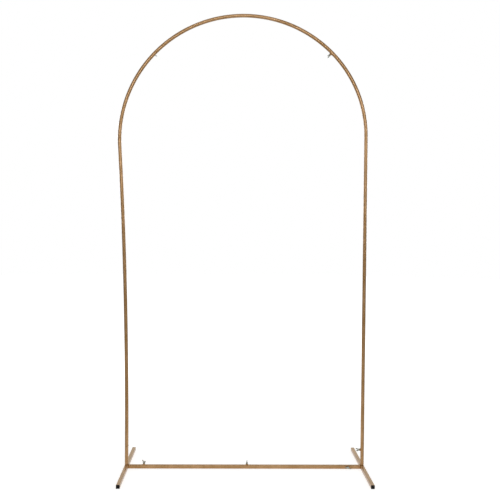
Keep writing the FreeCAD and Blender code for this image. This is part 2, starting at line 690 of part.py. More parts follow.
def add_hub(body):
    """Turn the hub and the pointed shank about the screw's axis, with a rounded crown."""
    radius = "Sizes.screw_diameter / 2"
    point = "Sizes.screw_point / 2"
    tip = "Sizes.swage_size / 2"
    crown = ("Derived.crown_x", "Derived.crown_z", "Sizes.hub_crown_round")
    cone_top = point_on_circle(*crown, "Derived.hub_taper / 1 deg")
    corners = [
        ("0", tip),
        (point, tip),
        (radius, f"{tip} + {radius} - {point}"),
        (radius, "Derived.hub_base"),
        ("Sizes.hub_diameter / 2", "Derived.hub_base"),
        cone_top,
        ("Derived.crown_x", "Derived.hub_top"),
        ("0", "Derived.hub_top"),
    ]
    profile = plane_sketch(body, "Turned_outline", "XZ_Plane")
    draw_outline(profile, corners, {corners.index(cone_top): crown})
    turned = body.newObject("PartDesign::Revolution", "Shank_and_hub")
    turned.Profile = profile
    turned.ReferenceAxis = (profile, ["V_Axis"])
    turned.Angle = 360
    doc.recompute()


def joins_wing_and_hub(feature, edge):
    """Say whether an edge lies where a wing grows out of the hub's cone, its round or its crown."""
    base, top = value("Derived.hub_base"), value("Derived.hub_top")
    reach = value("Sizes.hub_diameter") / 2 + TINY

    def on_hub(face):
        box = face.BoundBox
        level = box.ZLength < TINY and abs(box.ZMin - top) < TINY
        turned = isinstance(face.Surface, (Part.Cone, Part.Toroid)) and max(box.XMax, -box.XMin) < reach
        return level or turned

    faces = feature.Shape.ancestorsOfType(edge, Part.Face)
    return edge.BoundBox.ZMin > base + TINY and len(faces) == 2 and on_hub(faces[0]) != on_hub(faces[1])


def draw_wing(sketch, centre, radius, roots):
    """Draw a wing: a round lobe with a straight tangent line from each side to the hub."""
    middle = spot(*centre)
    lobe = value(radius)
    touches = []
    for place, sense in zip(roots, (1, -1)):
        root = spot(*place)
        away = root - middle
        turn = sense * math.acos(lobe / away.Length)
        angle = math.atan2(away.y, away.x) + turn
        touches.append((root, angle))
    (low_root, low_angle), (high_root, high_angle) = touches
    circle = Part.Circle(middle, Vector(0, 0, 1), lobe)
    arc = Part.ArcOfCircle(circle, low_angle, low_angle + (high_angle - low_angle) % (2 * math.pi))
    sketch.addGeometry(arc)
    sketch.addGeometry(Part.LineSegment(low_root, arc.StartPoint))
    sketch.addGeometry(Part.LineSegment(arc.EndPoint, high_root))
    sketch.addGeometry(Part.LineSegment(high_root, low_root))
    sketch.addConstraint(Sketcher.Constraint("Tangent", 1, 2, 0, 1))
    sketch.addConstraint(Sketcher.Constraint("Tangent", 0, 2, 2, 1))
    sketch.addConstraint(Sketcher.Constraint("Coincident", 2, 2, 3, 1))
    sketch.addConstraint(Sketcher.Constraint("Coincident", 3, 2, 1, 1))
    dimension(sketch, "Radius", 0, radius)
    pin(sketch, 0, 3, *centre)
    pin(sketch, 1, 1, *roots[0])
    pin(sketch, 2, 2, *roots[1])


def arch_screw_frame(arc, angle, outward):
    """Frame of a screw on a shoulder, at an angle in degrees about the arc's centre."""
    radians = math.radians(angle)
    radial = Vector(math.cos(radians), 0, math.sin(radians))
    along = Vector(-math.sin(radians), 0, math.cos(radians))
    radius = value(arc[2])
    direction = outward if outward else radial * -1
    return screw_frame(value(arc[0]) + radius * radial.x, 0, value(arc[1]) + radius * radial.z,
                       along, direction)


def all_screw_frames():
    """Work out where the seven screws sit and which way each one points."""
    half = value("Sizes.post_half_spacing")
    setback = value("Sizes.screw_setback")
    post_z = value("Sizes.post_stub_top") - setback
    bar_z = value("Derived.bar_middle")
    up, right = Vector(0, 0, 1), Vector(1, 0, 0)
    rear, front, inward = Vector(0, 1, 0), Vector(0, -1, 0), Vector(-1, 0, 0)
    right_angle = value(RIGHT_SEAM_ANGLE) - math.degrees(setback / value(RIGHT_ARC[2]))
    left_angle = value(LEFT_SEAM_ANGLE) + math.degrees(setback / value(LEFT_ARC[2]))
    return {
        "arch_left": arch_screw_frame(LEFT_ARC, left_angle, rear),
        "arch_right": arch_screw_frame(RIGHT_ARC, right_angle, None),
        "left_post": screw_frame(-half, 0, post_z, up, rear),
        "right_post": screw_frame(half, 0, post_z, up, inward),
        "bar_left": screw_frame(-value("Sizes.left_bar_screw"), 0, bar_z, right, up),
        "bar_middle": screw_frame(value("Sizes.bar_seam") + setback, 0, bar_z, right, up),
        "bar_right": screw_frame(value("Sizes.right_bar_screw"), 0, bar_z, right, front),
    }


SCREW_FRAMES = all_screw_frames()

# How far each screw's wings are turned about its own axis, in degrees.
SCREW_TURNS = {
    "arch_left": 60,
    "arch_right": -75,
    "left_post": 25,
    "right_post": 78,
    "bar_left": -55,
    "bar_middle": 85,
    "bar_right": -14,
}
SADDLE_ARCS = {"arch_left": LEFT_ARC, "arch_right": RIGHT_ARC}


def make_stand():
    """Make every piece and return the bodies in the order they are put together."""
    bodies = []
    for word, side in (("left", -1), ("right", 1)):
        bodies.append(make_foot(f"{word}_foot", side))
        bodies.append(make_post_stub(f"{word}_post_stub", side, SCREW_FRAMES[f"{word}_post"]))
        for place, end in (("front", -1), ("rear", 1)):
            bodies.append(make_plug(f"{word}_{place}_plug", side, end))
    bodies.extend(make_lower_posts())
    rim = "Sizes.bar_stub_rim"
    inner_side = "Derived.foot_inner_side"
    seam = "Sizes.bar_seam"
    bodies.append(make_bar("left_bar_stub", f"-{inner_side}", f"-{rim}", (), SCREW_FRAMES["bar_left"]))
    bodies.append(make_bar("right_bar_stub", rim, inner_side, (), SCREW_FRAMES["bar_right"]))
    bodies.append(make_bar("left_crossbar", f"-{rim}", seam,
                           (("Outer", f"-{rim}", -1), ("Inner", seam, 1))))
    bodies.append(make_bar("right_crossbar", seam, rim, (("Outer", rim, 1),), SCREW_FRAMES["bar_middle"]))
    bodies.append(make_left_upper_post())
    bodies.append(make_right_upper_post())
    bodies.append(make_top_arc())
    for place, frame in SCREW_FRAMES.items():
        on_round = not place.startswith("bar")
        bodies.append(make_collar(f"{place}_screw_collar", frame, SADDLE_ARCS.get(place), on_round))
        bodies.append(make_wing_screw(f"{place}_wing_screw", frame, SCREW_TURNS[place]))
    return bodies


def check(bodies):
    """Stop if any object failed to build or any piece is not one valid solid."""
    for item in doc.Objects:
        if "Invalid" in item.State or "Error" in item.State:
            raise RuntimeError(f"{item.Label} failed: {item.State}")
    for body in bodies:
        shape = body.Shape
        if shape.isNull() or not shape.isValid() or len(shape.Solids) != 1:
            raise RuntimeError(f"{body.Label} is not one valid solid")


def write_parts(bodies):
    """Write each piece to a file of its own name."""
    os.makedirs(OUTPUT_FOLDER, exist_ok=True)
    for body in bodies:
        body.Shape.exportStep(os.path.join(OUTPUT_FOLDER, body.Label + ".step"))


stand = make_stand()
doc.recompute()
check(stand)
write_parts(stand)
for piece in stand:
    print(f"{piece.Label}: {piece.Shape.Volume / 1000:.2f} cm3")
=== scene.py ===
"""Balloon arch stand: the lacquer on its tubes, its welds, wing screws and foot plugs.

Everything is in metres on the fixed frame: X runs along the crossbar, Y to the rear and
Z up.  The tubes, collars and plugs keep their own meshes and get their finish here.  The
weld beads and the threaded wing screws are made here.
"""

import math

import bmesh
import bpy
from bpy.props import FloatProperty, FloatVectorProperty, IntProperty, PointerProperty
from mathutils import Matrix, Vector


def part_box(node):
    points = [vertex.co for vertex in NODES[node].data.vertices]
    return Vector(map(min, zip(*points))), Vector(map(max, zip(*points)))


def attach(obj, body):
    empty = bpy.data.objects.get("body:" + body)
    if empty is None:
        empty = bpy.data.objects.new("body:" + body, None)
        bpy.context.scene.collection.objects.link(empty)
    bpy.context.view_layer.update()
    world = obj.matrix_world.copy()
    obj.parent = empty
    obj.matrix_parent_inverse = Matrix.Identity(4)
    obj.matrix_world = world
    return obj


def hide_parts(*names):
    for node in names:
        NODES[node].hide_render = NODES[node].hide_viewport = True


bl_info = {
    "name": "Balloon Arch Stand",
    "version": (1, 0, 0),
    "blender": (4, 5, 0),
    "location": "View3D > Sidebar > Arch Stand",
    "description": "Finishes a gold tube arch stand: lacquer, welds, wing screws, plugs and studio",
    "category": "Object",
}

BODY = "root"
MM = 0.001

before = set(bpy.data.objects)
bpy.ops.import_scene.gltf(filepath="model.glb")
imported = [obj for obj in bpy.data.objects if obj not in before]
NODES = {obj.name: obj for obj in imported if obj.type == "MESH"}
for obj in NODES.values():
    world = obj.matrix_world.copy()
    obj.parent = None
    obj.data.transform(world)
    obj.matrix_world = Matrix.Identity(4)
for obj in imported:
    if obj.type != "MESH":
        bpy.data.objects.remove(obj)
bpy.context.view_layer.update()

TUBES = sorted(name for name in NODES
               if name.endswith(("_foot", "_stub", "_post", "crossbar", "top_arc", "_collar")))
PLUGS = sorted(name for name in NODES if name.endswith("_plug"))

UP, RIGHT = Vector((0, 0, 1)), Vector((1, 0, 0))
REAR, FRONT = Vector((0, 1, 0)), Vector((0, -1, 0))

# Half the outer width of every tube, and the outer radius of a screw collar.
TUBE_RADIUS = 8 * MM
COLLAR_RADIUS = 5.5 * MM

# Heights over the tube's axis of the underside of a screw's hub and of the tip of its shank.
HUB_BASE = 14 * MM
SHANK_TIP = 6.85 * MM

# Centres and radii of the two shoulder bends that carry a screw.
BEND_CENTRES = {
    "arch_left": Vector((-0.01577, 0, 1.47646)),
    "arch_right": Vector((0.006, 0, 1.497)),
}
BEND_RADII = {"arch_left": 0.554, "arch_right": 0.526}

# A point on the axis of the tube that carries each of the other screws.
TUBE_CENTRES = {
    "left_post": Vector((-0.532, 0, 0)),
    "right_post": Vector((0.532, 0, 0)),
    "bar_left": Vector((0, 0, 0.008)),
    "bar_middle": Vector((0, 0, 0.008)),
    "bar_right": Vector((0, 0, 0.008)),
}

# Which way each screw faces; None faces the middle of its bend.
SCREW_PLACES = {
    "arch_left": REAR,
    "arch_right": None,
    "left_post": REAR,
    "right_post": -RIGHT,
    "bar_left": UP,
    "bar_middle": UP,
    "bar_right": FRONT,
}

# Place, aim, width and height, watts and colour of each softbox.
SOFTBOXES = {
    "Front left softbox": ((-2.6, -3.0, 2.0), (0, 0, 1.5), (1.4, 1.6), 9, "#FFFFFF"),
    "Front right softbox": ((2.6, -3.0, 2.0), (0, 0, 1.5), (1.4, 1.6), 14, "#FFFFFF"),
    "Rear left softbox": ((-2.8, 3.4, 1.8), (0, 0, 1.5), (1.4, 1.6), 36, "#FFFFFF"),
    "Rear right softbox": ((2.8, 3.4, 1.8), (0, 0, 1.5), (1.4, 1.6), 36, "#FFFFFF"),
    "Low rear softbox": ((0, 4.2, 1.2), (0, 0, 0), (3.4, 1.2), 6.5, "#FFF1CC"),
    "Front softbox": ((0, -4.2, 2.15), (0, 0, 1.5), (1.6, 1.5), 35, "#FFFFFF"),
    "Overhead softbox": ((0, -0.3, 3.2), (0, 0, 2), (3.6, 1.0), 6, "#FFFFFF"),
}


def srgb(code):
    """Turn an sRGB hex colour into the linear colour that shaders use."""
    channels = [int(code[place:place + 2], 16) / 255 for place in (1, 3, 5)]
    return tuple(c / 12.92 if c <= 0.04045 else ((c + 0.055) / 1.055) ** 2.4 for c in channels)


class TubeLacquer(bpy.types.PropertyGroup):
    """Finish of the steel tubes."""

    light_gold: FloatVectorProperty(
        name="Light gold", subtype="COLOR", default=srgb("#C69966"), min=0, max=1,
        description="Colour where the lacquer is thin and catches the light")
    deep_gold: FloatVectorProperty(
        name="Deep gold", subtype="COLOR", default=srgb("#B1844B"), min=0, max=1,
        description="Colour where the lacquer has gathered")
    roughness: FloatProperty(
        name="Roughness", subtype="FACTOR", default=0.3, min=0, max=1,
        description="How widely the lacquer spreads a reflection")
    mottle_size: FloatProperty(
        name="Mottle size", unit="LENGTH", default=90 * MM, min=1 * MM,
        description="Length of one light or dark stretch of the spray")
    grain_size: FloatProperty(
        name="Grain size", unit="LENGTH", default=1.1 * MM, min=0.1 * MM,
        description="Width of one dimple of the sprayed surface")


class WeldBeads(bpy.types.PropertyGroup):
    """Sizes of the weld beads."""

    foot_bead_radius: FloatProperty(
        name="Foot bead", unit="LENGTH", default=2.1 * MM, min=0.1 * MM,
        description="Radius of the beads that hold the stubs on the feet")
    collar_bead_radius: FloatProperty(
        name="Collar bead", unit="LENGTH", default=0.8 * MM, min=0.1 * MM,
        description="Radius of the beads round the screw collars")
    ripple_spacing: FloatProperty(
        name="Ripple spacing", unit="LENGTH", default=1.7 * MM, min=0.2 * MM,
        description="Distance from one ripple of the foot beads to the next")
    ripple_depth: FloatProperty(
        name="Ripple depth", subtype="FACTOR", default=0.24, min=0, max=0.9,
        description="How far the bead thins between ripples, as a share of its radius")
    unevenness: FloatProperty(
        name="Unevenness", subtype="FACTOR", default=0.35, min=0, max=1,
        description="How far the bead strays from its line, as a share of its radius")
    seed: IntProperty(
        name="Seed", default=7, min=0,
        description="Picks the unevenness of the beads")


class WingScrews(bpy.types.PropertyGroup):
    """Sizes of the screws' threads, which follow the M6 coarse thread."""

    pitch: FloatProperty(
        name="Pitch", unit="LENGTH", default=1.0 * MM, min=0.1 * MM,
        description="Distance from one thread crest to the next")
    major_radius: FloatProperty(
        name="Major radius", unit="LENGTH", default=2.95 * MM, min=0.5 * MM,
        description="Radius over the thread's crests")
    minor_radius: FloatProperty(
        name="Minor radius", unit="LENGTH", default=2.4 * MM, min=0.5 * MM,
        description="Radius at the thread's roots")
    zinc: FloatVectorProperty(
        name="Zinc", subtype="COLOR", default=srgb("#C6CAC0"), min=0, max=1,
        description="Colour of the plated screws")


class Studio(bpy.types.PropertyGroup):
    """The plain studio round the stand."""

    floor_radius: FloatProperty(
        name="Floor radius", unit="LENGTH", default=14, min=1,
        description="Radius of the pale floor")
    # Strength of the paper's painted glow round the feet, which lights the stand.
    pool_light: FloatProperty(
        name="Pool light", default=0.5, min=0,
        description="How brightly the floor round the feet lights the stand")
    lens: FloatProperty(
        name="Lens", unit="CAMERA", default=59.04, min=1,
        description="Focal length of the camera")
    camera_position: FloatVectorProperty(
        name="Camera position", subtype="TRANSLATION", default=(-0.0716, -3.6774, 1.1058),
        description="Where the camera stands")
    camera_yaw: FloatProperty(
        name="Camera yaw", subtype="ANGLE", default=math.radians(1.358),
        description="How far the camera turns to the right")
    camera_pitch: FloatProperty(
        name="Camera pitch", subtype="ANGLE", default=math.radians(1.565),
        description="How far the camera looks down")
    camera_roll: FloatProperty(
        name="Camera roll", subtype="ANGLE", default=math.radians(0.5),
        description="How far the camera leans")


def add(tree, kind, inputs=None, **settings):
    """Add a node, set its own settings, and fill or link its inputs."""
    made = tree.nodes.new(kind)
    for name, setting in settings.items():
        setattr(made, name, setting)
    for key, given in (inputs or {}).items():
        if isinstance(given, bpy.types.NodeSocket):
            tree.links.new(given, made.inputs[key])
        else:
            made.inputs[key].default_value = given
    return made


def new_material(name):
    """Start a material and return it with its empty node tree and output."""
    material = bpy.data.materials.new(name)
    material.use_nodes = True
    tree = material.node_tree
    tree.nodes.clear()
    return material, tree, tree.nodes.new("ShaderNodeOutputMaterial")


def rgba(colour):
    """Give a colour its alpha."""
    return (*colour, 1)


def gold_lacquer(settings):
    """Champagne-gold baked lacquer, sprayed on mild-steel tube.

    Bright flake in a tinted lacquer behaves partly as a coloured metal: it has warm, soft
    reflections, a mottle where the spray overlapped, and a faint orange peel.  The clear
    lacquer over it adds a paler gloss.
    """
    rub_size = 6 * MM
    peel_depth = 0.05 * MM
    material, tree, output = new_material("Gold baked lacquer")
    place = add(tree, "ShaderNodeTexCoord").outputs["Object"]
    mottle = add(tree, "ShaderNodeTexNoise", {
        "Vector": place, "Scale": 1 / settings.mottle_size, "Detail": 3, "Roughness": 0.6})
    tone = add(tree, "ShaderNodeMapRange", {
        "Value": mottle.outputs["Fac"], "From Min": 0.36, "From Max": 0.64})
    colour = add(tree, "ShaderNodeMix", {
        0: tone.outputs["Result"], 6: rgba(settings.deep_gold),
        7: rgba(settings.light_gold)}, data_type="RGBA")
    rub = add(tree, "ShaderNodeTexNoise", {
        "Vector": place, "Scale": 1 / rub_size, "Detail": 5, "Roughness": 0.65})
    roughness = add(tree, "ShaderNodeMapRange", {
        "Value": rub.outputs["Fac"], "From Min": 0.3, "From Max": 0.7,
        "To Min": settings.roughness - 0.06, "To Max": settings.roughness + 0.08})
    peel = add(tree, "ShaderNodeTexNoise", {
        "Vector": place, "Scale": 1 / settings.grain_size, "Detail": 2})
    bump = add(tree, "ShaderNodeBump", {
        "Height": peel.outputs["Fac"], "Strength": 0.12, "Distance": peel_depth})
    shader = add(tree, "ShaderNodeBsdfPrincipled", {
        "Base Color": colour.outputs[2], "Metallic": 0.45, "Roughness": roughness.outputs["Result"],
        "Normal": bump.outputs["Normal"], "Specular IOR Level": 0.4,
        "Coat Weight": 0.8, "Coat Roughness": 0.25})
    tree.links.new(shader.outputs["BSDF"], output.inputs["Surface"])
    return material


def weld_lacquer(settings):
    """The same lacquer over a weld: it gathers in the ripples, so it is darker and rougher."""
    scale_size = 1.6 * MM
    scale_depth = 0.15 * MM
    gathered = srgb("#8A5F36")
    material, tree, output = new_material("Gold lacquer over weld")
    place = add(tree, "ShaderNodeTexCoord").outputs["Object"]
    scale = add(tree, "ShaderNodeTexNoise", {
        "Vector": place, "Scale": 1 / scale_size, "Detail": 4, "Roughness": 0.6})
    tone = add(tree, "ShaderNodeMapRange", {
        "Value": scale.outputs["Fac"], "From Min": 0.35, "From Max": 0.65})
    colour = add(tree, "ShaderNodeMix", {
        0: tone.outputs["Result"], 6: rgba(gathered), 7: rgba(settings.deep_gold)},
        data_type="RGBA")
    bump = add(tree, "ShaderNodeBump", {
        "Height": scale.outputs["Fac"], "Strength": 0.3, "Distance": scale_depth})
    shader = add(tree, "ShaderNodeBsdfPrincipled", {
        "Base Color": colour.outputs[2], "Metallic": 0.9, "Roughness": 0.5,
        "Normal": bump.outputs["Normal"]})
    tree.links.new(shader.outputs["BSDF"], output.inputs["Surface"])
    return material


def zinc_plate(settings):
    """Bright zinc plating on die-cast zinc: a cool grey metal with a fine sandy cast skin."""
    skin_size = 0.7 * MM
    skin_depth = 0.05 * MM
    cloud_size = 5 * MM
    dull_zinc = srgb("#A4A9A0")
    material, tree, output = new_material("Zinc plated casting")
    place = add(tree, "ShaderNodeTexCoord").outputs["Object"]
    skin = add(tree, "ShaderNodeTexNoise", {
        "Vector": place, "Scale": 1 / skin_size, "Detail": 4, "Roughness": 0.6})
    cloud = add(tree, "ShaderNodeTexNoise", {
        "Vector": place, "Scale": 1 / cloud_size, "Detail": 2})
    tone = add(tree, "ShaderNodeMapRange", {
        "Value": cloud.outputs["Fac"], "From Min": 0.35, "From Max": 0.65})
    colour = add(tree, "ShaderNodeMix", {
        0: tone.outputs["Result"], 6: rgba(dull_zinc), 7: rgba(settings.zinc)},
        data_type="RGBA")
    roughness = add(tree, "ShaderNodeMapRange", {
        "Value": skin.outputs["Fac"], "From Min": 0.3, "From Max": 0.7,
        "To Min": 0.3, "To Max": 0.46})
    bump = add(tree, "ShaderNodeBump", {
        "Height": skin.outputs["Fac"], "Strength": 0.25, "Distance": skin_depth})
    shader = add(tree, "ShaderNodeBsdfPrincipled", {
        "Base Color": colour.outputs[2], "Metallic": 1.0, "Roughness": roughness.outputs["Result"],
        "Normal": bump.outputs["Normal"]})
    tree.links.new(shader.outputs["BSDF"], output.inputs["Surface"])
    return material


def black_polythene():
    """Injection-moulded black polythene: nearly black, waxy, with a fine spark-eroded grain."""
    grain_size = 0.45 * MM
    grain_depth = 0.06 * MM
    dust_size = 7 * MM
    black = srgb("#070707")
    dusty_black = srgb("#121110")
    material, tree, output = new_material("Black moulded polythene")
    place = add(tree, "ShaderNodeTexCoord").outputs["Object"]
    grain = add(tree, "ShaderNodeTexNoise", {
        "Vector": place, "Scale": 1 / grain_size, "Detail": 3, "Roughness": 0.55})
    dust = add(tree, "ShaderNodeTexNoise", {
        "Vector": place, "Scale": 1 / dust_size, "Detail": 4})
    tone = add(tree, "ShaderNodeMapRange", {
        "Value": dust.outputs["Fac"], "From Min": 0.4, "From Max": 0.75})
    colour = add(tree, "ShaderNodeMix", {
        0: tone.outputs["Result"], 6: rgba(black), 7: rgba(dusty_black)}, data_type="RGBA")
    bump = add(tree, "ShaderNodeBump", {
        "Height": grain.outputs["Fac"], "Strength": 0.3, "Distance": grain_depth})
    shader = add(tree, "ShaderNodeBsdfPrincipled", {
        "Base Color": colour.outputs[2], "Roughness": 0.5, "Specular IOR Level": 0.2,
        "Normal": bump.outputs["Normal"]})
    tree.links.new(shader.outputs["BSDF"], output.inputs["Surface"])
    return material


def finish_node(name, material):
    """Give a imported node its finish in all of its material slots."""
    mesh = NODES[name].data
    if not mesh.materials:
        mesh.materials.append(material)
    for index in range(len(mesh.materials)):
        mesh.materials[index] = material


def new_tree(name, inputs):
    """Start a Geometry Nodes tree that takes a mesh and the named inputs and gives a mesh."""
    tree = bpy.data.node_groups.new(name, "GeometryNodeTree")
    tree.interface.new_socket("Geometry", in_out="INPUT", socket_type="NodeSocketGeometry")
    for label, kind in inputs.items():
        tree.interface.new_socket(label, in_out="INPUT", socket_type="NodeSocket" + kind)
    tree.interface.new_socket("Geometry", in_out="OUTPUT", socket_type="NodeSocketGeometry")
    return tree, tree.nodes.new("NodeGroupInput").outputs, tree.nodes.new("NodeGroupOutput")


def end_tree(tree, geometry, material, output):
    """End a tree with real, smooth-shaded mesh in its own material."""
    smooth = add(tree, "GeometryNodeSetShadeSmooth", {"Geometry": geometry})
    real = add(tree, "GeometryNodeRealizeInstances", {"Geometry": smooth.outputs[0]})
    painted = add(tree, "GeometryNodeSetMaterial", {
        "Geometry": real.outputs[0], "Material": material})
    tree.links.new(painted.outputs[0], output.inputs[0])


def grow(name, mesh, tree, values):
    """Run a tree on a mesh and return the result as an object with a plain mesh."""
    host = bpy.data.objects.new(name, mesh)
    bpy.context.scene.collection.objects.link(host)
    modifier = host.modifiers.new(tree.name, "NODES")
    modifier.node_group = tree
    for item in tree.interface.items_tree:
        if item.in_out == "INPUT" and item.name in values:
            modifier[item.identifier] = values[item.name]
    evaluated = host.evaluated_get(bpy.context.evaluated_depsgraph_get())
    grown = bpy.data.meshes.new_from_object(evaluated)
    host.modifiers.clear()
    host.data = grown
    return host


def weld_bead_tree():
    """Weld bead along edges: a round section whose size steps up and eases off at each ripple."""
    steps_per_ripple = 6
    section_sides = 14
    wobble_size = 3 * MM
    noise_middle = (0.5, 0.5, 0.5)
    tree, given, output = new_tree("Weld bead", {
        "Bead radius": "Float", "Ripple spacing": "Float", "Ripple depth": "Float",
        "Unevenness": "Float", "Seed": "Int", "Material": "Material"})
    line = add(tree, "GeometryNodeMeshToCurve", {"Mesh": given["Geometry"]})
    step = add(tree, "ShaderNodeMath", {
        0: given["Ripple spacing"], 1: steps_per_ripple}, operation="DIVIDE")
    even = add(tree, "GeometryNodeResampleCurve", {
        "Curve": line.outputs[0], "Length": step.outputs[0]}, mode="LENGTH")
    along = add(tree, "GeometryNodeSplineParameter").outputs["Length"]
    count = add(tree, "ShaderNodeMath", {0: along, 1: given["Ripple spacing"]}, operation="DIVIDE")
    ripple = add(tree, "ShaderNodeMath", {0: count.outputs[0]}, operation="FRACT")
    fall = add(tree, "ShaderNodeMath", {0: ripple.outputs[0], 1: 2}, operation="POWER")
    dip = add(tree, "ShaderNodeMath", {
        0: fall.outputs[0], 1: given["Ripple depth"]}, operation="MULTIPLY")
    full = add(tree, "ShaderNodeMath", {0: 1, 1: dip.outputs[0]}, operation="SUBTRACT")
    size = add(tree, "ShaderNodeMath", {
        0: full.outputs[0], 1: given["Bead radius"]}, operation="MULTIPLY")
    section = add(tree, "GeometryNodeCurvePrimitiveCircle", {
        "Resolution": section_sides, "Radius": 1})
    bead = add(tree, "GeometryNodeCurveToMesh", {
        "Curve": even.outputs[0], "Profile Curve": section.outputs[0], "Scale": size.outputs[0],
        "Fill Caps": True})
    shift = add(tree, "ShaderNodeTexNoise", {
        "W": given["Seed"], "Vector": add(tree, "GeometryNodeInputPosition").outputs[0],
        "Scale": 1 / wobble_size, "Detail": 1}, noise_dimensions="4D")
    centred = add(tree, "ShaderNodeVectorMath", {
        0: shift.outputs["Color"], 1: noise_middle}, operation="SUBTRACT")
    amount = add(tree, "ShaderNodeMath", {
        0: given["Unevenness"], 1: given["Bead radius"]}, operation="MULTIPLY")
    offset = add(tree, "ShaderNodeVectorMath", {
        0: centred.outputs[0], "Scale": amount.outputs[0]}, operation="SCALE")
    uneven = add(tree, "GeometryNodeSetPosition", {
        "Geometry": bead.outputs[0], "Offset": offset.outputs[0]})
    end_tree(tree, uneven.outputs[0], given["Material"], output)
    return tree


def path_mesh(name, paths):
    """Make a mesh of edges from lists of points; a list is closed where its flag says so."""
    points, edges = [], []
    for places, closed in paths:
        first = len(points)
        points.extend(places)
        edges.extend((first + i, first + i + 1) for i in range(len(places) - 1))
        if closed:
            edges.append((len(points) - 1, first))
    mesh = bpy.data.meshes.new(name)
    mesh.from_pydata(points, edges, [])
    return mesh


def round_angles(steps):
    """List the angles of even steps round a circle."""
    return [2 * math.pi * step / steps for step in range(steps)]


def post_weld_path(side):
    """Ring where the round post stub stands on the foot.

    Before and behind the stub the bead lies outside it, on top of the foot.  At the sides, where
    stub and foot are equally wide, it draws in and dips into the gap over the foot's round edges.
    """
    outset = 0.3 * MM
    inset = 2.5 * MM
    dip = 0.9 * MM
    low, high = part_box(f"{side}_post_stub")
    centre = (low + high) / 2
    half_length = (high.y - low.y) / 2 + outset
    half_width = (high.x - low.x) / 2 - inset
    ring = [Vector((centre.x + half_width * math.cos(turn),
                    centre.y + half_length * math.sin(turn),
                    low.z - dip * math.cos(turn) ** 4)) for turn in round_angles(48)]
    return ring, True


def bar_weld_path(side):
    """Three sides of the square bar stub where it meets the foot; the floor side is bare."""
    clear = 2.4 * MM
    corner = 2 * MM
    steps = 6
    foot_low, foot_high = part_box(f"{side}_foot")
    x = foot_high.x if side == "left" else foot_low.x
    half = (foot_high.z - foot_low.z) / 2
    line = [Vector((x, -half, clear))]
    for y, first in ((-half + corner, math.pi), (half - corner, math.pi / 2)):
        for step in range(steps + 1):
            turn = first - math.pi / 2 * step / steps
            line.append(Vector((x, y + corner * math.cos(turn),
                                2 * half - corner + corner * math.sin(turn))))
    line.append(Vector((x, half, clear)))
    return line, False


class Screw:
    """Where a wing screw sits: its own frame has X along the tube and Z out along its axis."""

    def __init__(self, name, facing):
        self.name = name
        self.round_tube = not name.startswith("bar")
        low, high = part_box(f"{name}_screw_collar")
        middle = (low + high) / 2
        if name in BEND_CENTRES:
            spoke = middle - BEND_CENTRES[name]
            spoke.y = 0
            spoke.normalize()
            along = spoke.cross(REAR)
            facing = facing or -spoke
            middle = BEND_CENTRES[name] + spoke * BEND_RADII[name]
        else:
            along = RIGHT if name.startswith("bar") else UP
            middle = middle - facing * (middle - TUBE_CENTRES[name]).dot(facing)
        self.matrix = Matrix((along, facing.cross(along), facing)).transposed().to_4x4()
        self.matrix.translation = middle


def all_screws():
    """List the screws of the stand in their places."""
    return [Screw(name, facing) for name, facing in SCREW_PLACES.items()]


def collar_weld_path(screw):
    """Ring where a collar meets its tube: a saddle on a round tube and flat on a square one."""
    ring = []
    for turn in round_angles(40):
        x, y = COLLAR_RADIUS * math.cos(turn), COLLAR_RADIUS * math.sin(turn)
        z = math.sqrt(TUBE_RADIUS ** 2 - y ** 2) if screw.round_tube else TUBE_RADIUS
        ring.append(screw.matrix @ Vector((x, y, z)))
    return ring, True


